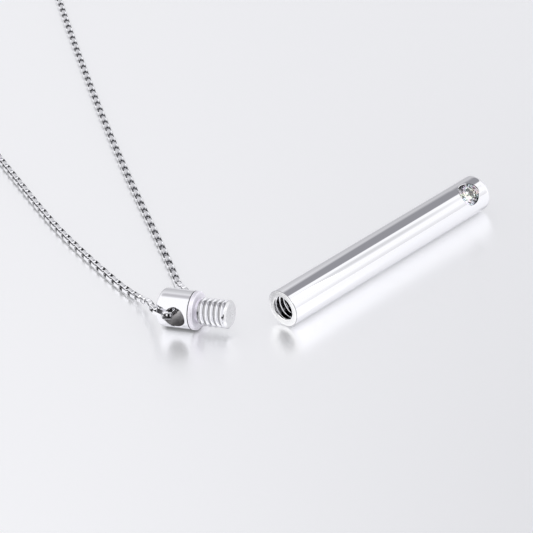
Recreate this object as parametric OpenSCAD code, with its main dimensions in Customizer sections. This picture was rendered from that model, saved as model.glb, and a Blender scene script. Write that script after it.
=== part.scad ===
/* Keepsake urn pendant on a box chain, laid down with its screw cap taken off */

/* [Urn tube] */
// Outer diameter of the tube and of the cap's barrel
body_d = 5; // [4.4:0.1:8]
// Length of the tube from its mouth to its closed end
tube_len = 37.3; // [26:0.1:60]
// Radius of the rounded edge at the closed end
end_round = 1; // [0.3:0.1:1.5]
// Diameter of the bore that holds the ashes
bore_d = 3.2; // [2.6:0.1:3.3]
// Bevel around the mouth of the bore
mouth_bevel = 0.1; // [0.05:0.05:0.3]
// Solid metal between the ash chamber and the seat of the stone
chamber_web = 1; // [0.5:0.1:4]

/* [Thread] */
// Distance from one turn of the thread to the next
thread_pitch = 0.7; // [0.5:0.05:0.9]
// Clearance all round between the screw and the thread in the tube
thread_gap = 0.1; // [0.06:0.01:0.15]
// Free depth of the thread in the tube past the end of the screw
thread_spare = 0.9; // [0.3:0.1:3]

/* [Screw cap] */
// Length of the cap's barrel up to the face that meets the tube
barrel_len = 5.1; // [4.6:0.1:8]
// Radius of the rounded edge at the back of the barrel
cap_round = 0.6; // [0.1:0.1:0.8]
// Bevel around the face that meets the tube
face_bevel = 0.05; // [0.05:0.05:0.3]
// Width of the fine groove turned around the barrel
groove_w = 0.12; // [0.06:0.01:0.2]
// Depth of that groove
groove_depth = 0.15; // [0.05:0.01:0.2]
// Distance from the face to that groove
groove_back = 0.55; // [0.35:0.05:0.7]
// Diameter of the cross hole that the chain runs through
hole_d = 2.75; // [2.2:0.05:2.8]
// Distance from the face to the centre of the cross hole
hole_back = 2.45; // [2.3:0.05:2.8]
// Length of the screw from the face to its tip
screw_len = 4.35; // [3.5:0.05:8]
// Plain neck between the face and the first turn
neck_len = 0.25; // [0.2:0.05:1]
// Bevel at the tip of the screw
tip_bevel = 0.25; // [0.1:0.05:0.5]

/* [Stone] */
// Diameter of the round stone
stone_d = 3; // [2:0.1:3.2]
// Distance from the closed end of the tube to the centre of the stone
stone_back = 3.6; // [2.8:0.1:8]
// Angle of the stone above the level, seen along the tube
stone_tilt = 46; // [0:1:90]
// Clearance between the stone and its seat
stone_gap = 0.05; // [0.03:0.01:0.1]
// Height of the metal above the girdle of the stone at its lowest
stone_lip = 0.18; // [0.1:0.02:0.3]

/* [Chain] */
// Width of the chain over its links
chain_w = 1; // [0.8:0.05:1.2]

/* [Clasp] */
// Outer diameter of the clasp's ring
clasp_d = 6; // [5:0.5:7]
// Thickness of the ring's wire
clasp_wire = 1; // [0.8:0.1:1.4]
// Diameter of the end sleeves that hold the chain
sleeve_d = 1.6; // [1.5:0.1:2]
// Length of chain that a sleeve holds
sleeve_hold = 1.5; // [1:0.1:2]
// Clearance between the chain and its sleeve
sleeve_gap = 0.12; // [0.05:0.01:0.15]

/* [Layout] */
// Direction of the tube from its mouth to its closed end
tube_turn = 41.4; // [0:0.1:80]
// Direction in which the screw points
cap_turn = -25; // [-28:0.1:-23]

/* [Hidden] */
$fn = 64;
slack = 1;

// Where the mouth of the tube and the face of the cap lie
tube_place = [29.4, -103.9];
cap_place = [18.9, -102];

body_r = body_d / 2;
bore_r = bore_d / 2;

// The thread has flanks of 30 degrees and flat crests, and is turned as one ring for each turn
thread_depth = thread_pitch / 2;
thread_crest = thread_pitch / 5;
flank = thread_depth * tan(30);
thread_valley = (thread_pitch - thread_crest) / 2 - flank;
core_r = bore_r - thread_gap;
screw_r = core_r + thread_depth;
screw_turns = floor((screw_len - tip_bevel - neck_len - thread_valley - flank) / thread_pitch);
tap_turns = floor((screw_len + thread_spare) / thread_pitch);

// The stone sits as high as its seat stays closed at the tube's sides
stone_r = stone_d / 2;
seat_r = stone_r + stone_gap;
girdle_h = sqrt(body_r * body_r - seat_r * seat_r) - stone_lip;
girdle_t = stone_d * 0.03;
crown_h = stone_d * 0.15;
pavilion_h = stone_d * 0.43;
table_r = stone_r * 0.56;
star_r = stone_r * 0.76;
lower_r = stone_r * 0.22;
chamber_depth = tube_len - stone_back - seat_r - chamber_web;

// Middle line of the chain from one end of the clasp round to the other, as x, y and the
// height over where it lies on the surface
route = [
    [-32.2, 102.8, 0.3], [-34.8, 102.6, 0.3], [-43, 99.8, 0], [-55.2, 84, 0], [-58, 69, 0],
    [-53.5, 47.5, 0], [-37, 12, 0], [-24, -13, 0], [-12.5, -38, 0], [-7.1, -52.5, 0],
    [-0.5, -70.2, 0], [3.6, -79.5, 0], [8.4, -89.2, 0], [10.2, -92.5, 0.2], [11.6, -95.6, 0.9],
    [12.4, -98.2, 2], [12.7, -99.9, 2.6], [12.9, -101.2, 3.1], [13.1, -102.2, 3.3],
    [13.6, -103, 3.2], [14.4, -103.4, 2.9], [14.9, -103.2, 2.6], [15.3, -102.6, 2.5],
    [15.9, -101.7, 2.5], [16.5, -100.7, 2.6], [17, -99.6, 2.6], [17.3, -98.6, 2.5],
    [17.4, -97.8, 2.4], [17.2, -96.2, 1.9], [16.5, -93, 0.8], [16.2, -91, 0.3], [15.6, -87.3, 0],
    [14.3, -80.5, 0], [9.8, -57.5, 0], [5.3, -31.4, 0], [0, 3.6, 0], [-10.6, 84, 0],
    [-13.2, 97.5, 0], [-19.2, 102.6, 0.3], [-21.8, 102.8, 0.3]
];
chain_sides = 8;
chain_steps = 2;

function unit(v) = v / norm(v);
function polar(r, a, z) = [r * cos(a), r * sin(a), z];

// Puts a turned piece on its side, its axis along the surface
module lay(place, turn) {
    translate([place.x, place.y, body_r]) rotate([0, 90, turn]) children();
}

// Turns from the axis of the laid tube to the direction that the stone faces
module at_stone() {
    translate([0, 0, tube_len - stone_back]) rotate([90, 0, -stone_tilt]) children();
}

// Outline of turns of thread that stand out from radius r, from z upwards
function thread_outline(r, z, turns) = [for (i = [0:turns - 1]) let (
    low = z + thread_pitch * i + thread_valley,
    high = z + thread_pitch * (i + 1) - thread_valley
) each [[r, low], [r + thread_depth, low + flank], [r + thread_depth, high - flank], [r, high]]];

// The closed tube before its bore is cut: a rod with one rounded end
module tube_rod() {
    rotate_extrude() union() {
        square([body_r, tube_len - end_round]);
        square([body_r - end_round, tube_len]);
        translate([body_r - end_round, tube_len - end_round]) intersection() {
            circle(end_round);
            square(end_round);
        }
    }
}

// Room for the stone: straight above its girdle and tapered below it
module stone_seat() {
    translate([0, 0, girdle_h - girdle_t]) cylinder(h = body_r, r = seat_r);
    translate([0, 0, girdle_h - pavilion_h - girdle_t - stone_gap]) {
        cylinder(h = pavilion_h + stone_gap, r1 = stone_gap, r2 = seat_r);
    }
}

// Outline of the room inside the tube: bevelled mouth, thread and the plain chamber for the ashes
module bore_outline() {
    polygon(concat(
        [[0, -slack], [bore_r + mouth_bevel + slack, -slack], [bore_r, mouth_bevel]],
        thread_outline(bore_r, mouth_bevel, tap_turns),
        [[bore_r, chamber_depth], [0, chamber_depth]]
    ));
}

module urn_tube() {
    color("gainsboro") lay(tube_place, tube_turn) difference() {
        tube_rod();
        rotate_extrude() bore_outline();
        at_stone() stone_seat();
    }
}

// A round brilliant on its girdle: table, crown, girdle and pavilion
module stone() {
    crown_z = function(x) girdle_t / 2 + crown_h * (stone_r - x) / (stone_r - table_r);
    pavilion_z = function(x) -girdle_t / 2 - pavilion_h * (1 - x / stone_r);
    half = 22.5;
    top = [for (i = [0:7]) polar(table_r, 45 * i, crown_z(table_r))];
    star = [for (i = [0:7]) polar(star_r, 45 * i + half, crown_z(star_r * cos(half)))];
    upper = [for (i = [0:15]) polar(stone_r, half * i, girdle_t / 2)];
    lower = [for (i = [0:15]) polar(stone_r, half * i, -girdle_t / 2)];
    keel = [for (i = [0:7]) polar(lower_r, 45 * i + half, pavilion_z(lower_r * cos(half)))];
    T = 0;
    S = 8;
    U = 16;
    L = 32;
    K = 48;
    culet = 56;
    eighth = function(i) let (n = (i + 1) % 8, u = 2 * i, v = 2 * i + 1, w = (2 * i + 2) % 16) [
        [T + n, T + i, S + i],
        [T + i, U + u, S + i], [S + i, U + w, T + n],
        [S + i, U + u, U + v], [S + i, U + v, U + w],
        [U + u, L + u, L + v, U + v], [U + v, L + v, L + w, U + w],
        [L + v, L + u, K + i], [L + w, L + v, K + i],
        [K + i, L + u, culet], [culet, L + w, K + i]
    ];
    table = [for (i = [0:7]) 7 - i];
    facets = [for (i = [0:7]) each eighth(i)];
    color("white") lay(tube_place, tube_turn) at_stone() translate([0, 0, girdle_h - girdle_t / 2]) {
        polyhedron(
            concat(top, star, upper, lower, keel, [[0, 0, pavilion_z(0)]]),
            concat([table], [for (f = facets) [for (j = [len(f) - 1:-1:0]) f[j]]])
        );
    }
}

// Outline of the cap's turned solid, from the middle of its back to the tip of its screw
module cap_outline() {
    groove_z = -groove_back - groove_w;
    nose_z = neck_len + thread_pitch * screw_turns + thread_valley;
    polygon(concat(
        [
            [0, -barrel_len + cap_round], [body_r, -barrel_len + cap_round],
            [body_r, groove_z], [body_r - groove_depth, groove_z],
            [body_r - groove_depth, -groove_back], [body_r, -groove_back],
            [body_r, -face_bevel], [body_r - face_bevel, 0], [core_r, 0]
        ],
        thread_outline(core_r, neck_len, screw_turns),
        [
            [core_r, nose_z], [screw_r, nose_z + flank], [screw_r, screw_len - tip_bevel],
            [screw_r - tip_bevel, screw_len], [0, screw_len]
        ]
    ));
    translate([0, -barrel_len]) square([body_r - cap_round, cap_round + slack / 2]);
    translate([body_r - cap_round, -barrel_len + cap_round]) intersection() {
        circle(cap_round);
        translate([0, -cap_round]) square(cap_round);
    }
}

module screw_cap() {
    color("silver") lay(cap_place, cap_turn) difference() {
        rotate_extrude() cap_outline();
        translate([0, 0, -hole_back]) rotate([90, 0, 0]) {
            cylinder(h = body_d + 2 * slack, d = hole_d, center = true);
        }
    }
}

// The chain's links fill this round tube, which runs along the route
module chain() {
    last = len(route) - 1;
    spot = function(i) [route[i].x, route[i].y, chain_w / 2 + route[i].z];
    heading = function(i) unit(spot(min(i + 1, last)) - spot(max(i - 1, 0)));
    along = function(i, t) let (
        a = spot(i), b = spot(i + 1), h = norm(b - a),
        p = (2 * t * t * t - 3 * t * t + 1) * a + (t * t * t - 2 * t * t + t) * h * heading(i)
            + (3 * t * t - 2 * t * t * t) * b + (t * t * t - t * t) * h * heading(i + 1)
    ) [p.x, p.y, max(p.z, chain_w / 2)];
    steps = [for (s = [0:chain_steps - 1]) s / chain_steps];
    path = concat([for (i = [0:last - 1]) for (t = steps) along(i, t)], [spot(last)]);
    end = len(path) - 1;
    n = chain_sides;
    points = [for (k = [0:end]) let (
        t = unit(path[min(k + 1, end)] - path[max(k - 1, 0)]),
        side = unit(cross([0, 0, 1], t)),
        lift = cross(t, side)
    ) for (j = [0:n - 1]) let (
        a = 360 * (j + 0.5) / n
    ) path[k] + chain_w / 2 * (cos(a) * side + sin(a) * lift)];
    walls = [for (k = [0:end - 1]) for (j = [0:n - 1]) let (m = (j + 1) % n)
        [n * k + j, n * k + n + j, n * k + n + m, n * k + m]];
    color("darkgray") polyhedron(
        points, concat([[for (j = [0:n - 1]) j]], walls, [[for (j = [n - 1:-1:0]) n * end + j]])
    );
}

// A plain closed ring with a sleeve at each side, into which an end of the chain goes
module clasp() {
    first = route[0];
    final = route[len(route) - 1];
    reach = norm(final - first) / 2;
    ring_r = (clasp_d - clasp_wire) / 2;
    sleeve_r = sleeve_d / 2;
    color("silver") translate([(first.x + final.x) / 2, (first.y + final.y) / 2, sleeve_r]) {
        difference() {
            union() {
                rotate_extrude() translate([ring_r, 0]) circle(d = clasp_wire);
                for (way = [-1, 1]) rotate([0, way * 90, 0]) translate([0, 0, ring_r]) {
                    cylinder(h = reach + sleeve_hold - ring_r, r = sleeve_r);
                }
            }
            for (way = [-1, 1]) rotate([0, way * 90, 0]) translate([0, 0, reach - sleeve_gap]) {
                cylinder(h = sleeve_hold + slack, r = chain_w / 2 + sleeve_gap);
            }
        }
    }
}

urn_tube();
stone();
screw_cap();
chain();
clasp();
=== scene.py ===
"""Looks of a keepsake urn pendant, laid down with its screw cap off and its box chain around it."""
import math

import bmesh
import bpy
import numpy as np
from mathutils import Matrix, Vector


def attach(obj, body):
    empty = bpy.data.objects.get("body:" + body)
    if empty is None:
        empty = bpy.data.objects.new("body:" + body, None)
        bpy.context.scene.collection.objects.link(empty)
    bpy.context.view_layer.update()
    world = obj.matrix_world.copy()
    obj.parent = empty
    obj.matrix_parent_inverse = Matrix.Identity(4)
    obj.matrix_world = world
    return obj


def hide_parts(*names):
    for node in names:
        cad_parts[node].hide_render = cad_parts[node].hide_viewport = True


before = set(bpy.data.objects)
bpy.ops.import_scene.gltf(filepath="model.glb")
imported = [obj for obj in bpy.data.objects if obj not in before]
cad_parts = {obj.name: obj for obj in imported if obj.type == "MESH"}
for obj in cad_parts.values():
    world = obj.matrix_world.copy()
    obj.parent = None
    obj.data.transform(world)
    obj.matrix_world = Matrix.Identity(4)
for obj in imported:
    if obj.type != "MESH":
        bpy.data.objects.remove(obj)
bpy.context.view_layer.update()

# Pieces are built in millimetres along their own axis, and put in place in metres
MM = 0.001
UP = Vector((0, 0, 1))
# Columns of faces round a turned piece
SIDES = 96
# Points closer than this are one point
WELD = 0.0005
# Faces that meet at more than this angle have a sharp edge between them
CREASE = math.radians(28)

# The turned metal of the tube and of the cap
BODY_R = 2.5
BORE_R = 1.6
TUBE_LEN = 37.3
END_ROUND = 1
MOUTH_BEVEL = 0.1
EDGE_BREAK = 0.07
CHAMBER_DEPTH = 31.15
THREAD_PITCH = 0.7
THREAD_DEPTH = THREAD_PITCH / 2
TAP_LEN = 7 * THREAD_PITCH
CORE_R = 1.5
BARREL_LEN = 5.1
CAP_ROUND = 0.6
FACE_ROUND = 0.15
GROOVE_W = 0.12
GROOVE_DEPTH = 0.15
GROOVE_BACK = 0.55
HOLE_R = 1.375
HOLE_BACK = 2.45
SCREW_LEN = 4.35
NECK_LEN = 0.25
TIP_BEVEL = 0.25
NOSE_LEN = 0.52

# The stone and its seat in the side of the tube
STONE_R = 1.5
STONE_BACK = 3.6
STONE_TILT = 46
SEAT_GAP = 0.05
SEAT_R = STONE_R + SEAT_GAP
STONE_LIP = 0.18
# The girdle's height over the tube's axis, its thickness and the depth of the point under it
GIRDLE = math.sqrt(BODY_R ** 2 - SEAT_R ** 2) - STONE_LIP
GIRDLE_T = 0.09
PAVILION_H = 1.29

# Where the tube's mouth and the cap's face lie, and which way each axis points
TUBE_PLACE = (29.4, -103.9)
TUBE_TURN = 41.4
CAP_PLACE = (18.9, -102)
CAP_TURN = -25

# The chain's middle line as x, y and the height over where it lies on the surface
CHAIN_W = 1
ROUTE = (
    # From the clasp along the wide side of the loop
    (-32.2, 102.8, 0.3), (-34.8, 102.6, 0.3), (-43, 99.8, 0), (-55.2, 84, 0), (-58, 69, 0),
    (-53.5, 47.5, 0), (-37, 12, 0), (-24, -13, 0), (-12.5, -38, 0), (-7.1, -52.5, 0),
    (-0.5, -70.2, 0), (3.6, -79.5, 0), (8.4, -89.2, 0),
    # Up past the barrel, round into its cross hole and through it
    (10.2, -92.5, 0.2), (11.6, -95.6, 0.9), (12.4, -98.2, 2), (12.7, -99.9, 2.6),
    (12.9, -101.2, 3.1), (13.1, -102.2, 3.3), (13.6, -103, 3.2), (14.4, -103.4, 2.9),
    (14.9, -103.2, 2.6), (15.3, -102.6, 2.5), (15.9, -101.7, 2.5), (16.5, -100.7, 2.6),
    (17, -99.6, 2.6), (17.3, -98.6, 2.5),
    # Down from the hole and back to the clasp
    (17.4, -97.8, 2.4), (17.2, -96.2, 1.9), (16.5, -93, 0.8), (16.2, -91, 0.3), (15.6, -87.3, 0),
    (14.3, -80.5, 0), (9.8, -57.5, 0), (5.3, -31.4, 0), (0, 3.6, 0), (-10.6, 84, 0),
    (-13.2, 97.5, 0), (-19.2, 102.6, 0.3), (-21.8, 102.8, 0.3),
)
ROUTE_STEPS = 12

# A link of the chain is a strip bent into a box
LINK_PITCH = 1.1
LINK_LEN = 1.53
LINK_W = 0.95
STRIP_T = 0.2
STRIP_W = 0.5
LINK_CORNER = 0.15

# How close a piece comes to the floor, in metres, before the floor's painted contact shade darkens it
# under the piece
CONTACT_REACH = 0.0005

# Finishes of the steel, some with painted shade or a painted reflection: colour, roughness, smudges in
# its gloss and hairlines in its surface
FINISHES_AND_PAINTED_LIGHT = {
    "bright": ((0.79, 0.79, 0.81), 0.05, 0.02, 0.03),
    # Satin steel, its lavender tint a painted reflection
    "satin_painted_reflection": ((0.9, 0.88, 0.93), 0.52, 0.05, 0.1),
    # The groove's dark steel is painted shade
    "groove": ((0.18, 0.18, 0.19), 0.4, 0.05, 0.1),
    "chain": ((0.8, 0.8, 0.82), 0.06, 0.04, 0.05),
    # The links' inner faces and narrow sides: dark steels of painted shade between the links
    "inner": ((0.08, 0.08, 0.085), 0.3, 0.05, 0.05),
    "side": ((0.12, 0.12, 0.125), 0.15, 0.05, 0.05),
    # The cross hole's lining: a drilled finish, darkened with painted shade inside the hole
    "drilled": ((0.46, 0.45, 0.45), 0.3, 0.1, 0.1),
    "nose": ((0.7, 0.7, 0.71), 0.2, 0.15, 0.6),
    # Steel for the tube mouth's outer edge and the screw's valleys, darkened with painted shade
    "edge": ((0.45, 0.45, 0.46), 0.2, 0.05, 0.1),
    # The stone's seat, darkened with painted shade under the stone
    "seat": ((0.5, 0.5, 0.51), 0.3, 0.05, 0.1),
    "faced": ((0.88, 0.88, 0.87), 0.22, 0.05, 0.2),
}
HAIRLINE_DEPTH = 0.00001
# How many painted glints of colour the stone has a metre
FLECKS_A_METRE = 1700

# Camera, in the place from which the pendant is seen, its angles in degrees
CAMERA_PLACE = (0.0280, -0.4007, 0.1793)
CAMERA_DOWN = 29.866
CAMERA_ROLL = 6.737
CAMERA_LENS = 185.23


class Tree:
    """A node tree that is written as formulas: numbers and sockets may stand in each other's place."""

    def __init__(self, name, kind):
        self.tree = bpy.data.node_groups.new(name, kind)
        self.source = self.tree.nodes.new("NodeGroupInput")
        self.sink = self.tree.nodes.new("NodeGroupOutput")

    def take(self, name, kind="NodeSocketFloat", value=None):
        item = self.tree.interface.new_socket(name, in_out="INPUT", socket_type=kind)
        if value is not None:
            item.default_value = value
        return self.source.outputs[name]

    def give(self, name, socket, kind="NodeSocketFloat"):
        self.tree.interface.new_socket(name, in_out="OUTPUT", socket_type=kind)
        self.tree.links.new(socket, self.sink.inputs[name])

    def node(self, kind, *values, **settings):
        return add_node(self.tree, kind, *values, **settings)

    def math(self, operation, *values):
        return self.node("ShaderNodeMath", *values, operation=operation).outputs[0]


def add_node(tree, kind, *values, **settings):
    """Adds a node, its settings by name and its inputs in their order, with None for one left alone."""
    node = tree.nodes.new(kind)
    for name, value in settings.items():
        setattr(node, name, value)
    for socket, value in zip(node.inputs, values):
        if isinstance(value, bpy.types.NodeSocket):
            tree.links.new(value, socket)
        elif value is not None:
            socket.default_value = value
    return node


def mix_colours(tree, share, base, colour):
    """A mix of two colours by a share, each colour a socket or plain red, green and blue."""
    colours = [c if isinstance(c, bpy.types.NodeSocket) else (*c, 1) for c in (base, colour)]
    # A Mix node's sockets for numbers and vectors lie between its share and its two colours
    left_alone = [None] * 5
    mix = add_node(tree, "ShaderNodeMix", share, *left_alone, *colours, data_type="RGBA")
    return mix.outputs[2]


def set_input(modifier, name, value):
    """Sets a Geometry Nodes input by the identifier that its name stands for."""
    for item in modifier.node_group.interface.items_tree:
        if item.item_type == "SOCKET" and item.in_out == "INPUT" and item.name == name:
            modifier[item.identifier] = value
            return
    raise KeyError(name)


def grown(mesh, tree, **inputs):
    """The plain mesh that a Geometry Nodes tree makes of a mesh."""
    holder = bpy.data.objects.new("holder", mesh)
    bpy.context.collection.objects.link(holder)
    modifier = holder.modifiers.new("grow", "NODES")
    modifier.node_group = tree
    for name, value in inputs.items():
        set_input(modifier, name.replace("_", " "), value)
    graph = bpy.context.evaluated_depsgraph_get()
    result = bpy.data.meshes.new_from_object(holder.evaluated_get(graph))
    bpy.data.objects.remove(holder)
    return result


def finished(name, mesh, materials, node):
    """Makes a piece of a mesh that is in place, and lets it stand for its solid.

    The mesh's faces choose among the materials by their index.
    """
    for material in materials:
        mesh.materials.append(material)
    piece = bpy.data.objects.new(name, mesh)
    bpy.context.collection.objects.link(piece)
    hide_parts(node)
    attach(piece, "root")


def laid(place, turn):
    """Lays a piece that was built along Z on the surface, at a place and in a direction."""
    spot = Matrix.Translation((place[0] * MM, place[1] * MM, BODY_R * MM))
    flat = Matrix.Rotation(math.radians(turn), 4, "Z") @ Matrix.Rotation(math.pi / 2, 4, "Y")
    return spot @ flat @ Matrix.Scale(MM, 4)


def arc(centre_r, centre_z, radius, start, stop, steps):
    """Points (r, z) of a round corner, its angles in degrees from the outward direction."""
    angles = np.radians(np.linspace(start, stop, steps + 1))
    return [(centre_r + radius * math.cos(a), centre_z + radius * math.sin(a)) for a in angles]


def turned(profile, phase):
    """A mesh turned round Z from points (r, z), whose first ring starts at the angle phase.

    Returns it with its rings of vertices. A point on the axis is a ring of one vertex.
    """
    work = bmesh.new()
    rings = []
    for r, z in profile:
        if r == 0:
            rings.append([work.verts.new((0, 0, z))])
            continue
        angles = [phase + math.tau * i / SIDES for i in range(SIDES)]
        rings.append([work.verts.new((r * math.cos(a), r * math.sin(a), z)) for a in angles])
    for low, high in zip(rings, rings[1:]):
        for i in range(SIDES):
            n = (i + 1) % SIDES
            corners = [low[i % len(low)], low[n % len(low)], high[n % len(high)], high[i % len(high)]]
            work.faces.new(list(dict.fromkeys(corners)))
    return work, rings


def cut_window(work, rings, rows, column, half, middle, rim, loops):
    """Cuts a round hole in a turned wall and lines it with loops of points.

    rows are the first and last ring of the window, column its middle column and half its half width
    in columns. middle is the hole's height and rim its radius. Each of loops is a radius and a function
    that gives its height over the axis from the wall's own height there. Returns the last loop.
    """
    first, last = rows
    across = [(column + k) % SIDES for k in range(-half, half + 1)]
    walls = [rings[j] for j in range(first, last + 1)]
    inside = {v for ring in walls[1:-1] for v in (ring[i] for i in across[1:-1])}
    edge = [walls[0][i] for i in across] + [ring[across[-1]] for ring in walls[1:-1]]
    edge += [walls[-1][i] for i in reversed(across)]
    edge += [ring[across[0]] for ring in reversed(walls[1:-1])]
    bmesh.ops.delete(work, geom=list(inside), context="VERTS")

    centre = walls[0][across[half]].co
    radius = Vector((centre.x, centre.y)).length
    out = Vector((centre.x, centre.y, 0)) / radius
    side = UP.cross(out)
    flat = [(radius * math.atan2(v.co.dot(side), v.co.dot(out)), v.co.z - middle) for v in edge]
    headings = [math.atan2(s, z) for s, z in flat]

    def point(size, heading, height):
        s = size * math.sin(heading)
        wall = math.sqrt(radius ** 2 - s ** 2)
        return out * height(wall) + side * s + UP * (middle + size * math.cos(heading))

    # Loops that turn the window's square edge into the round rim, closer together near the rim
    steps, crowding = 5, 1.4
    last_loop = edge
    for step in range(1, steps + 1):
        share = 1 - (1 - step / steps) ** crowding
        loop = []
        for (s, z), heading in zip(flat, headings):
            rim_s = radius * math.asin(rim * math.sin(heading) / radius)
            angle = (s + (rim_s - s) * share) / radius
            height = middle + z + (rim * math.cos(heading) - z) * share
            round_wall = radius * (out * math.cos(angle) + side * math.sin(angle))
            loop.append(work.verts.new(round_wall + UP * height))
        join_loops(work, last_loop, loop)
        last_loop = loop
    for size, height in loops:
        loop = [work.verts.new(point(size, heading, height)) for heading in headings]
        join_loops(work, last_loop, loop)
        last_loop = loop
    return last_loop


def join_loops(work, outer, inner):
    """Faces between two closed loops with as many points."""
    count = len(outer)
    for i in range(count):
        n = (i + 1) % count
        work.faces.new((outer[i], outer[n], inner[n], inner[i]))


def thread_tree():
    """Geometry Nodes for one continuous screw thread between two heights, as a sleeve round Z.

    A grid is wound up: each column is one step of the turn, and the rows climb by the pitch at each
    round, so that the last column meets the first one a turn further up.
    """
    tree = Tree("Screw thread", "GeometryNodeTree")
    root, depth, pitch = tree.take("Root"), tree.take("Depth"), tree.take("Pitch")
    low, high = tree.take("Low"), tree.take("High")
    fade_in, fade_out = tree.take("Fade in"), tree.take("Fade out")
    nose, bevel = tree.take("Nose"), tree.take("Bevel")
    start = tree.take("Start")
    sides, rows = tree.take("Sides", "NodeSocketInt"), tree.take("Rows", "NodeSocketInt")
    per_turn = tree.take("Rows a turn", "NodeSocketInt")

    columns = tree.math("ADD", sides, 1)
    grid = tree.node("GeometryNodeMeshGrid", 1, 1, columns, rows).outputs["Mesh"]
    index = tree.node("GeometryNodeInputIndex").outputs[0]
    column = tree.math("FLOOR", tree.math("DIVIDE", tree.math("ADD", index, 0.5), rows))
    row = tree.math("SUBTRACT", index, tree.math("MULTIPLY", column, rows))
    turn = tree.math("DIVIDE", column, sides)
    climb = tree.math("SUBTRACT", tree.math("DIVIDE", row, per_turn), 1)
    free_z = tree.math("ADD", low, tree.math("MULTIPLY", pitch, tree.math("ADD", climb, turn)))
    z = tree.math("MINIMUM", tree.math("MAXIMUM", free_z, low), high)

    # Flanks between a flat crest and a flat valley, which start at these shares of the pitch from
    # the crest's middle
    crest_end, valley_start = 0.1, 0.39
    rounds = tree.math("SUBTRACT", tree.math("DIVIDE", tree.math("SUBTRACT", z, low), pitch), turn)
    # A nudge keeps rounding from tipping a row at a whole turn over to the turn before
    nudge = 0.0001
    share = tree.math("FRACT", tree.math("ADD", rounds, 1 + nudge))
    off_crest = tree.math("ABSOLUTE", tree.math("SUBTRACT", share, 0.5))
    flank = tree.node("ShaderNodeMapRange", off_crest, crest_end, valley_start, 1, 0).outputs[0]
    past_low, short_of_high = tree.math("SUBTRACT", z, low), tree.math("SUBTRACT", high, z)
    rise = tree.node("ShaderNodeMapRange", past_low, 0, fade_in, 0, 1).outputs[0]
    fall = tree.node("ShaderNodeMapRange", short_of_high, 0, fade_out, 0, 1).outputs[0]
    turns = tree.math("MULTIPLY", tree.math("MULTIPLY", flank, rise), fall)

    # The nose past the last turn is as thick as the crests
    nose_flank = 0.2
    from_nose = tree.math("SUBTRACT", z, tree.math("SUBTRACT", high, nose))
    filled = tree.node("ShaderNodeMapRange", from_nose, 0, nose_flank, 0, 1).outputs[0]
    has_nose = tree.math("GREATER_THAN", nose, 0)
    height = tree.math("MAXIMUM", turns, tree.math("MULTIPLY", filled, has_nose))
    crest_r = tree.math("ADD", root, tree.math("MULTIPLY", depth, height))
    tip = tree.math("MAXIMUM", tree.math("SUBTRACT", z, tree.math("SUBTRACT", high, bevel)), 0)
    tip_r = tree.math("SUBTRACT", tree.math("ADD", root, depth), tip)
    radius = tree.math("MINIMUM", crest_r, tip_r)

    angle = tree.math("ADD", start, tree.math("MULTIPLY", turn, math.tau))
    place = tree.node(
        "ShaderNodeCombineXYZ",
        tree.math("MULTIPLY", radius, tree.math("COSINE", angle)),
        tree.math("MULTIPLY", radius, tree.math("SINE", angle)),
        z,
    ).outputs[0]
    wound = tree.node("GeometryNodeSetPosition", grid, None, place).outputs[0]
    welded = tree.node("GeometryNodeMergeByDistance", wound, None, WELD).outputs[0]
    tree.give("Geometry", welded, "NodeSocketGeometry")
    return tree.tree


def thread(tree, root, low, high, start, fade_in, fade_out, nose=0, bevel=0):
    """A sleeve of thread as a plain mesh, whose turns rise and fall over the lengths of its fades."""
    per_turn = 10
    rows = int(per_turn * ((high - low) / THREAD_PITCH + 1)) + 2
    return grown(
        bpy.data.meshes.new("blank"), tree, Root=root, Depth=THREAD_DEPTH, Pitch=THREAD_PITCH,
        Low=low, High=high, Fade_in=fade_in, Fade_out=fade_out, Nose=nose, Bevel=bevel, Start=start,
        Sides=SIDES, Rows=rows, Rows_a_turn=per_turn,
    )


def closed_up(work, extra, place, names, finish):
    """Welds a turned mesh to its thread, turns its faces outwards and lays it in place.

    finish names the steel of a face, a finish or a painted shade, one of names, from the radius and the
    height of its middle.
    """
    work.from_mesh(extra)
    bmesh.ops.remove_doubles(work, verts=work.verts, dist=WELD)
    bmesh.ops.dissolve_degenerate(work, edges=work.edges, dist=WELD / 5)
    bmesh.ops.recalc_face_normals(work, faces=work.faces)
    open_edges = [e for e in work.edges if not e.is_manifold]
    assert not open_edges, f"{len(open_edges)} open edges"
    for face in work.faces:
        middle = face.calc_center_median()
        face.material_index = names.index(finish(math.hypot(middle.x, middle.y), middle.z))
    mesh = bpy.data.meshes.new("turned")
    work.to_mesh(mesh)
    work.free()
    mesh.transform(place)
    mesh.shade_smooth()
    mesh.set_sharp_from_angle(angle=CREASE)
    return mesh


def joined(work, profile, phase):
    """Adds a second turned profile to a mesh."""
    extra, _ = turned(profile, phase)
    mesh = bpy.data.meshes.new("extra")
    extra.to_mesh(mesh)
    extra.free()
    work.from_mesh(mesh)


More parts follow.
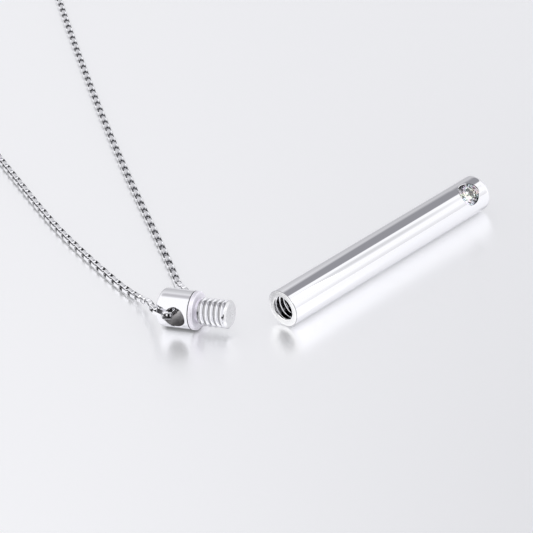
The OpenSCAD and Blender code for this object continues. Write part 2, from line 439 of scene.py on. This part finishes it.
def urn_tube(tree, steels):
    """The tube from its closed end over its wall and mouth down to the floor of its chamber."""
    phase = math.radians(270 - STONE_TILT)
    half_rows, rows_apart, half_columns = 8, 0.29, 16
    stone_height = TUBE_LEN - STONE_BACK
    window = [stone_height - rows_apart * k for k in range(-half_rows, half_rows + 1)]
    outside = [(0, TUBE_LEN)] + arc(BODY_R - END_ROUND, TUBE_LEN - END_ROUND, END_ROUND, 90, 0, 10)
    start = len(outside)
    mouth = arc(BODY_R - EDGE_BREAK, EDGE_BREAK, EDGE_BREAK, 0, -90, 3)
    mouth += arc(BORE_R + MOUTH_BEVEL, EDGE_BREAK / 2, EDGE_BREAK / 2, 270, 225, 2)
    lower = [(BORE_R, MOUTH_BEVEL)]
    work, rings = turned(outside + [(BODY_R, z) for z in window] + mouth + lower, phase)
    seat = [
        (SEAT_R, lambda wall: wall - EDGE_BREAK),
        (SEAT_R, lambda wall: GIRDLE - GIRDLE_T),
        (SEAT_GAP, lambda wall: GIRDLE - GIRDLE_T - PAVILION_H - SEAT_GAP),
    ]
    rows = (start, start + 2 * half_rows)
    rim = SEAT_R + EDGE_BREAK
    work.faces.new(cut_window(work, rings, rows, 0, half_columns, stone_height, rim, seat))
    tap_end = MOUTH_BEVEL + TAP_LEN
    joined(work, [(BORE_R, tap_end), (BORE_R, CHAMBER_DEPTH), (0, CHAMBER_DEPTH)], phase)
    tap = thread(tree, BORE_R, MOUTH_BEVEL, tap_end, phase, fade_in=0.1, fade_out=0.4)
    names = ("bright", "faced", "seat", "edge")

    def finish(radius, height):
        # The stone's seat takes a darker steel of painted shade
        if radius < BORE_R and CHAMBER_DEPTH + WELD < height < TUBE_LEN - END_ROUND:
            return "seat"
        # The mouth's outer edge takes the dark edge steel, painted shade
        if height < EDGE_BREAK:
            return "faced" if radius < BODY_R - EDGE_BREAK else "edge"
        return "bright"

    mesh = closed_up(work, tap, laid(TUBE_PLACE, TUBE_TURN), names, finish)
    finished("urn_tube_polished", mesh, [steels[n] for n in names], "urn_tube")


def screw_cap(tree, steels):
    """The cap from the middle of its back over the drilled barrel and the screw to its tip."""
    phase = math.pi / 2
    half_rows, rows_apart, half_columns = 8, 0.21, 12
    window = [-HOLE_BACK + rows_apart * k for k in range(-half_rows, half_rows + 1)]
    back = [(0, -BARREL_LEN)] + arc(BODY_R - CAP_ROUND, -BARREL_LEN + CAP_ROUND, CAP_ROUND, -90, 0, 8)
    start = len(back)
    groove_z = -GROOVE_BACK - GROOVE_W
    groove_r = BODY_R - GROOVE_DEPTH
    face = [
        (BODY_R, groove_z), (groove_r, groove_z), (groove_r, -GROOVE_BACK), (BODY_R, -GROOVE_BACK),
        *arc(BODY_R - FACE_ROUND, -FACE_ROUND, FACE_ROUND, 0, 90, 4),
        (CORE_R, 0), (CORE_R, NECK_LEN),
    ]
    work, rings = turned(back + [(BODY_R, z) for z in window] + face, phase)
    rows = (start, start + 2 * half_rows)
    # The hole is lined from each side to half a millimetre from the middle, where the two ends join
    half_middle = 0.5
    lining = [(HOLE_R, lambda wall: wall - EDGE_BREAK), (HOLE_R, lambda wall: half_middle)]
    rim = HOLE_R + EDGE_BREAK
    ends = []
    for column in (0, SIDES // 2):
        end = cut_window(work, rings, rows, column, half_columns, -HOLE_BACK, rim, lining)
        ends.append(sorted(end, key=lambda v: math.atan2(v.co.x, v.co.z + HOLE_BACK)))
    join_loops(work, *ends)
    # The flat tip closes over one ring between its edge and the axis
    tip_r, ring_share = CORE_R + THREAD_DEPTH - TIP_BEVEL, 0.6
    joined(work, [(tip_r, SCREW_LEN), (tip_r * ring_share, SCREW_LEN), (0, SCREW_LEN)], phase)
    screw = thread(
        tree, CORE_R, NECK_LEN, SCREW_LEN, phase,
        fade_in=0.35, fade_out=0.001, nose=NOSE_LEN, bevel=TIP_BEVEL,
    )
    names = ("bright", "satin_painted_reflection", "groove", "drilled", "nose", "edge")
    valley_r = CORE_R + THREAD_DEPTH * 0.4

    def finish(radius, height):
        in_wall = radius < BODY_R - EDGE_BREAK / 2
        # The groove takes a dark steel of painted shade
        if abs(height + GROOVE_BACK + GROOVE_W / 2) < GROOVE_W / 2 + WELD and in_wall:
            return "groove"
        # The hole's lining takes the drilled steel, darkened with painted shade
        if abs(height + HOLE_BACK) < HOLE_R and in_wall:
            return "drilled"
        if height > SCREW_LEN - TIP_BEVEL:
            return "nose"
        # The thread's valleys take the dark edge steel, painted shade
        if height > NECK_LEN and radius < valley_r:
            return "edge"
        # The face ring and neck take the satin steel, its lavender a painted reflection
        return "satin_painted_reflection" if -GROOVE_BACK - WELD < height < NECK_LEN else "bright"

    mesh = closed_up(work, screw, laid(CAP_PLACE, CAP_TURN), names, finish)
    finished("screw_cap_polished", mesh, [steels[n] for n in names], "screw_cap")


def cut_facet(work, slope, heading, distance):
    """Cuts a facet: everything further out than the distance in its direction comes off."""
    slope, heading = math.radians(slope), math.radians(heading)
    level = Vector((math.cos(heading), math.sin(heading), 0))
    normal = level * math.sin(slope) + UP * math.cos(slope)
    cut = bmesh.ops.bisect_plane(
        work, geom=work.verts[:] + work.edges[:] + work.faces[:], plane_co=normal * distance,
        plane_no=normal, clear_outer=True, dist=1e-5,
    )
    rim = [e for e in cut["geom_cut"] if isinstance(e, bmesh.types.BMEdge)]
    if rim:
        bmesh.ops.contextual_create(work, geom=rim)


def stone(material):
    """A round brilliant, cut facet by facet from a short rod."""
    work = bmesh.new()
    bmesh.ops.create_cone(
        work, cap_ends=True, segments=64, radius1=STONE_R, radius2=STONE_R, depth=2 * STONE_R,
    )
    half_girdle = GIRDLE_T / 2
    # The facets just reach the girdle, and the table takes this share of the stone's width
    inner, table_share = STONE_R * 0.996, 0.56
    # Slopes of the facets from the girdle's plane, in degrees
    crown, upper_half, star, pavilion, lower_half = 34.5, 40.5, 21, -41, -42.2
    eighth, half_step = 45, 11.25

    def girdle_cut(slope, count, first):
        """A ring of facets that start at the girdle, above it or below it by the slope's sign."""
        steep = math.radians(abs(slope))
        reach = inner * math.sin(steep) + half_girdle * math.cos(steep)
        for k in range(count):
            cut_facet(work, slope if slope > 0 else 180 + slope, first + 360 * k / count, reach)

    girdle_cut(crown, 8, 0)
    girdle_cut(upper_half, 16, half_step)
    table_r = STONE_R * table_share
    table_z = half_girdle + (inner - table_r) * math.tan(math.radians(crown))
    star_slope = math.radians(star)
    star_r = table_r * math.cos(math.radians(eighth / 2))
    star_reach = star_r * math.sin(star_slope) + table_z * math.cos(star_slope)
    for k in range(8):
        cut_facet(work, star, eighth / 2 + eighth * k, star_reach)
    cut_facet(work, 0, 0, table_z)
    girdle_cut(pavilion, 8, 0)
    girdle_cut(lower_half, 16, half_step)
    bmesh.ops.recalc_face_normals(work, faces=work.faces)
    mesh = bpy.data.meshes.new("stone")
    work.to_mesh(mesh)
    work.free()
    seat = Matrix.Translation((0, 0, TUBE_LEN - STONE_BACK))
    facing = Matrix.Rotation(math.radians(-STONE_TILT), 4, "Z") @ Matrix.Rotation(math.pi / 2, 4, "X")
    lifted = Matrix.Translation((0, 0, GIRDLE - half_girdle))
    mesh.transform(laid(TUBE_PLACE, TUBE_TURN) @ seat @ facing @ lifted)
    mesh.shade_flat()
    finished("stone_brilliant", mesh, [material], "stone")


def chain_line():
    """Points of the chain's middle line, smoothed between the chosen ones."""
    spots = [Vector((x, y, CHAIN_W / 2 + lift)) for x, y, lift in ROUTE]
    last = len(spots) - 1
    headings = [(spots[min(i + 1, last)] - spots[max(i - 1, 0)]).normalized() for i in range(last + 1)]
    points = []
    for a, b, leave, arrive in zip(spots, spots[1:], headings, headings[1:]):
        chord = (b - a).length
        for step in range(ROUTE_STEPS):
            t = step / ROUTE_STEPS
            point = (2 * t ** 3 - 3 * t ** 2 + 1) * a + (t ** 3 - 2 * t ** 2 + t) * chord * leave
            point += (3 * t ** 2 - 2 * t ** 3) * b + (t ** 3 - t ** 2) * chord * arrive
            point.z = max(point.z, CHAIN_W / 2)
            points.append(point)
    return points + [spots[-1]]


def box_link():
    """One link: a six-sided strip led round a box with round corners, in the plane of X and Y."""
    corner_x = (LINK_LEN - STRIP_T) / 2 - LINK_CORNER
    corner_y = (LINK_W - STRIP_T) / 2 - LINK_CORNER
    t, w = STRIP_T / 2, STRIP_W / 2
    # The strip's section is bevelled outside, from these shares of its half thickness and half width
    bevel_t, bevel_w = t * 0.3, w * 0.75
    section = ((-t, -w), (bevel_t, -w), (t, -bevel_w), (t, bevel_w), (bevel_t, w), (-t, w))
    work = bmesh.new()
    rings = []
    for turn, (sx, sy) in enumerate(((1, 1), (-1, 1), (-1, -1), (1, -1))):
        centre = Vector((sx * corner_x, sy * corner_y, 0))
        for step in range(3):
            a = math.radians(90 * turn + 45 * step)
            out = Vector((math.cos(a), math.sin(a), 0))
            rings.append([work.verts.new(centre + out * (LINK_CORNER + o) + UP * z) for o, z in section])
    for ring, ahead in zip(rings, rings[1:] + rings[:1]):
        join_loops(work, ring, ahead)
    bmesh.ops.recalc_face_normals(work, faces=work.faces)
    mesh = bpy.data.meshes.new("box_link")
    work.to_mesh(mesh)
    work.free()
    mesh.shade_flat()
    # Inner faces and narrow sides are marked for the dark steels of painted shade between the links
    inner = mesh.attributes.new("inner", "BOOLEAN", "FACE")
    side = mesh.attributes.new("side", "BOOLEAN", "FACE")
    for face in mesh.polygons:
        is_side = abs(face.normal.z) > 0.9
        side.data[face.index].value = is_side
        inner.data[face.index].value = face.normal.dot(face.center) < 0 and not is_side
    return mesh


def chain_tree():
    """Geometry Nodes for a chain: links along a line, each turned a quarter from the one before."""
    tree = Tree("Box chain", "GeometryNodeTree")
    line = tree.take("Line", "NodeSocketGeometry")
    link = tree.take("Link", "NodeSocketObject")
    count = tree.take("Count", "NodeSocketInt")
    outside = tree.take("Outside", "NodeSocketMaterial")
    faces = {name: tree.take(name, "NodeSocketMaterial") for name in ("Inner", "Side")}
    curve = tree.node("GeometryNodeMeshToCurve", line).outputs[0]
    spaced = tree.node("GeometryNodeResampleCurve", curve, None, count).outputs[0]
    along = tree.node("GeometryNodeInputTangent").outputs[0]
    index = tree.node("GeometryNodeInputIndex").outputs[0]
    level = tree.node(
        "FunctionNodeAxesToRotation", along, (0, 0, 1), primary_axis="X", secondary_axis="Z",
    ).outputs[0]
    quarter = tree.math("MULTIPLY", tree.math("MODULO", index, 2), math.pi / 2)
    twist = tree.node("ShaderNodeCombineXYZ", quarter, 0, 0).outputs[0]
    twisted = tree.node("FunctionNodeRotateRotation", level, twist, rotation_space="LOCAL").outputs[0]
    shape = tree.node("GeometryNodeObjectInfo", link)
    copies = tree.node("GeometryNodeInstanceOnPoints", spaced)
    tree.tree.links.new(shape.outputs["Geometry"], copies.inputs["Instance"])
    tree.tree.links.new(twisted, copies.inputs["Rotation"])
    real = tree.node("GeometryNodeRealizeInstances", copies.outputs[0]).outputs[0]
    dressed = tree.node("GeometryNodeSetMaterial", real, None, outside).outputs[0]
    # Inner faces and narrow sides get their materials, dark with painted shade
    for name, material in faces.items():
        chosen = tree.node("GeometryNodeInputNamedAttribute", name.lower(), data_type="BOOLEAN")
        chosen = chosen.outputs[0]
        dressed = tree.node("GeometryNodeSetMaterial", dressed, chosen, material).outputs[0]
    tree.give("Chain", dressed, "NodeSocketGeometry")
    return tree.tree


def chain(steels):
    """The chain's interlocked links along its line."""
    whole = chain_line()
    # The end links stop short of the closed ends of the clasp's sleeves
    points = [p for p in whole if min((p - whole[0]).length, (p - whole[-1]).length) > LINK_LEN / 2]
    length = sum((b - a).length for a, b in zip(points, points[1:]))
    line = bpy.data.meshes.new("line")
    line.from_pydata([tuple(p) for p in points], [(i, i + 1) for i in range(len(points) - 1)], [])
    link = bpy.data.objects.new("box_link", box_link())
    bpy.context.collection.objects.link(link)
    count = round(length / LINK_PITCH)
    # The links' inner faces and narrow sides take dark steels of painted shade
    mesh = grown(
        line, chain_tree(), Link=link, Count=count,
        Outside=steels["chain"], Inner=steels["inner"], Side=steels["side"],
    )
    mesh.transform(Matrix.Scale(MM, 4))
    bpy.data.objects.remove(link)
    finished("chain_links", mesh, [], "chain")


def new_material(name):
    material = bpy.data.materials.new(name)
    material.use_nodes = True
    tree = material.node_tree
    return material, tree, tree.nodes["Principled BSDF"]


def set_shader(shader, **values):
    for name, value in values.items():
        shader.inputs[name.replace("_", " ")].default_value = value


def polish_group():
    """Shader group for polished metal: faint smudges in its gloss and fine hairlines in its surface."""
    tree = Tree("Polish marks", "ShaderNodeTree")
    gloss = tree.take("Roughness", value=0.06)
    smudge = tree.take("Smudge", value=0.03)
    grain = tree.take("Hairlines a metre", value=9000)
    place = tree.node("ShaderNodeTexCoord").outputs["Object"]
    # Each noise has its scale, its detail and its roughness after its place
    clouds_a_metre = 260
    cloud = tree.node("ShaderNodeTexNoise", place, None, clouds_a_metre, 3, 0.6).outputs[0]
    hairs = tree.node("ShaderNodeTexNoise", place, None, grain, 2, 0.6).outputs[0]
    spread = tree.node("ShaderNodeMapRange", cloud, 0.35, 0.7, 0, 1).outputs[0]
    tree.give("Roughness", tree.math("ADD", gloss, tree.math("MULTIPLY", spread, smudge)))
    tree.give("Height", hairs)
    return tree.tree


def metal(name, group, colour, roughness, smudge, bump):
    """A polished metal with the marks of its polish."""
    material, tree, shader = new_material(name)
    set_shader(shader, Metallic=1, Base_Color=(*colour, 1))
    marks = add_node(tree, "ShaderNodeGroup", node_tree=group)
    marks.inputs["Roughness"].default_value = roughness
    marks.inputs["Smudge"].default_value = smudge
    raised = add_node(tree, "ShaderNodeBump")
    raised.inputs["Strength"].default_value = bump
    raised.inputs["Distance"].default_value = HAIRLINE_DEPTH
    tree.links.new(marks.outputs["Height"], raised.inputs["Height"])
    tree.links.new(marks.outputs["Roughness"], shader.inputs["Roughness"])
    tree.links.new(raised.outputs["Normal"], shader.inputs["Normal"])
    return material


def clear_stone():
    """A clear stone with faint flecks of colour painted into it: painted glints of the coloured light
    that it splits.
    """
    material, tree, shader = new_material("clear stone")
    set_shader(shader, Roughness=0, IOR=2.15, Transmission_Weight=1)
    place = add_node(tree, "ShaderNodeTexCoord").outputs["Object"]
    # Flecks of colour in the stone's own colour, painted glints of the light it splits
    flecks = add_node(tree, "ShaderNodeTexVoronoi")
    flecks.inputs["Scale"].default_value = FLECKS_A_METRE
    tree.links.new(place, flecks.inputs["Vector"])
    hue = add_node(tree, "ShaderNodeSeparateXYZ", flecks.outputs["Color"]).outputs[0]
    tint = add_node(tree, "ShaderNodeCombineColor", hue, 0.25, 1, mode="HSV").outputs[0]
    tree.links.new(tint, shader.inputs["Base Color"])
    return material


def floor():
    """A pale glossy sheet under everything, which glows faintly, with painted contact shade where a
    piece comes close to it.
    """
    material, tree, shader = new_material("pale gloss sheet")
    set_shader(shader, Metallic=0.9, Roughness=0.31, Emission_Color=(0.97, 0.98, 1, 1))
    # Painted contact shade: the least light that is left under the cap and under the tube, and where one
    # turns into the other
    under_cap, under_tube = 0.35, 0.95
    cap_side, tube_side = 0.023, 0.029
    # The sheet glows faintly, painted light that dims with the painted contact shade
    glow_strength = 0.3
    unhidden = add_node(tree, "ShaderNodeAmbientOcclusion", None, CONTACT_REACH).outputs["AO"]
    place = add_node(tree, "ShaderNodeNewGeometry").outputs["Position"]
    across = add_node(tree, "ShaderNodeSeparateXYZ", place).outputs["X"]
    least = add_node(tree, "ShaderNodeMapRange", across, cap_side, tube_side, under_cap, under_tube)
    open_share = add_node(tree, "ShaderNodeMapRange", unhidden, 0, 1, least.outputs[0], 1).outputs[0]
    glow = add_node(tree, "ShaderNodeMath", open_share, glow_strength, operation="MULTIPLY").outputs[0]
    tree.links.new(glow, shader.inputs["Emission Strength"])
    # Painted contact shade: the sheet's grey where a piece hides it and where it is open
    hidden_grey, open_grey = (0.1, 0.1, 0.1), (0.74, 0.74, 0.75)
    shade = mix_colours(tree, open_share, hidden_grey, open_grey)
    tree.links.new(shade, shader.inputs["Base Color"])
    size = 1.5
    mesh = bpy.data.meshes.new("floor")
    corners = [(-size, -size, 0), (size, -size, 0), (size, size, 0), (-size, size, 0)]
    mesh.from_pydata(corners, [], [(0, 1, 2, 3)])
    mesh.materials.append(material)
    sheet = bpy.data.objects.new("floor", mesh)
    bpy.context.collection.objects.link(sheet)


def camera():
    """The camera, which looks along +Y, turned down and then rolled."""
    down, roll = math.radians(CAMERA_DOWN), math.radians(CAMERA_ROLL)
    ahead = Vector((0, math.cos(down), -math.sin(down)))
    level_up = Vector((0, math.sin(down), math.cos(down)))
    right = math.cos(roll) * Vector((1, 0, 0)) - math.sin(roll) * level_up
    up = math.sin(roll) * Vector((1, 0, 0)) + math.cos(roll) * level_up
    data = bpy.data.cameras.new("camera")
    data.lens = CAMERA_LENS
    data.sensor_width = 36
    data.clip_start = 0.01
    eye = bpy.data.objects.new("camera", data)
    bpy.context.collection.objects.link(eye)
    turn = Matrix((right, up, -ahead)).transposed().to_4x4()
    eye.matrix_world = Matrix.Translation(CAMERA_PLACE) @ turn
    bpy.context.scene.camera = eye


def studio():
    """A white tent over the floor with grey and dark patches, and one soft lamp."""
    scene = bpy.context.scene
    scene.view_settings.view_transform = "Standard"
    world = bpy.data.worlds.new("tent")
    world.use_nodes = True
    scene.world = world
    tree = world.node_tree
    place = add_node(tree, "ShaderNodeTexCoord").outputs["Generated"]

    def facing(direction, start, stop):
        """1 where the tent is seen within the angle start of a direction, 0 beyond the angle stop."""
        unit = tuple(Vector(direction).normalized())
        dot = add_node(tree, "ShaderNodeVectorMath", place, unit, operation="DOT_PRODUCT")
        near, far = math.cos(math.radians(start)), math.cos(math.radians(stop))
        return add_node(tree, "ShaderNodeMapRange", dot.outputs["Value"], far, near, 0, 1).outputs[0]

    def both(patch, other):
        return add_node(tree, "ShaderNodeMath", patch, other, operation="MULTIPLY").outputs[0]

    # A card overhead, which ends on its left and at the edge of a second, wider card
    across = add_node(tree, "ShaderNodeSeparateXYZ", place).outputs["X"]
    on_right = add_node(tree, "ShaderNodeMapRange", across, -0.08, 0.06, 0, 1).outputs[0]
    card = both(facing((-0.1, 0.6, 0.79), 37, 40.5), both(facing((0.4, 0.45, 0.8), 25, 40), on_right))

    # Patches of the tent and their colours, each painted over the ones before it
    patches = (
        # Grey on the far side, and a paler spot in it to the right
        (facing((0, 1, 0.1), 5, 60), (0.6, 0.6, 0.62)),
        (facing((0.4, 0.88, 0.3), 0, 20), (0.85, 0.85, 0.87)),
        # A grey spot overhead, and the card over it
        (facing((-0.204, 0.429, 0.879), 0, 16), (0.58, 0.57, 0.6)),
        (card, (0.336, 0.336, 0.36)),
        # Two pale spots on the right, one high and one level with the pendant
        (facing((0.66, -0.02, 0.72), 3, 12), (0.8, 0.8, 0.82)),
        (facing((0.97, -0.24, 0), 6, 20), (0.93, 0.93, 0.95)),
        # A black card on the near side
        (facing((-0.05, -1, 0.3), 22, 34), (0.03, 0.03, 0.035)),
    )
    tent = (1.15, 1.15, 1.17)
    for patch, colour in patches:
        tent = mix_colours(tree, patch, tent, colour)
    background = tree.nodes["Background"]
    tree.links.new(tent, background.inputs["Color"])
    background.inputs["Strength"].default_value = 1.09

    lamp_data = bpy.data.lights.new("lamp", "AREA")
    lamp_data.shape = "RECTANGLE"
    lamp_data.size, lamp_data.size_y = 0.5, 0.35
    lamp_data.energy = 0.52
    lamp = bpy.data.objects.new("lamp", lamp_data)
    bpy.context.collection.objects.link(lamp)
    spot, aim = Vector((0.5, -0.45, 0.6)), Vector((0.02, -0.1, 0))
    turn = (spot - aim).to_track_quat("Z", "Y").to_matrix().to_4x4()
    lamp.matrix_world = Matrix.Translation(spot) @ turn


camera()
studio()
floor()
polish = polish_group()
steels = {name: metal(f"{name} steel", polish, *values) for name, values in FINISHES_AND_PAINTED_LIGHT.items()}
threads = thread_tree()
urn_tube(threads, steels)
screw_cap(threads, steels)
stone(clear_stone())
chain(steels)
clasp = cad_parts["clasp"]
clasp.data.materials.clear()
clasp.data.materials.append(steels["bright"])
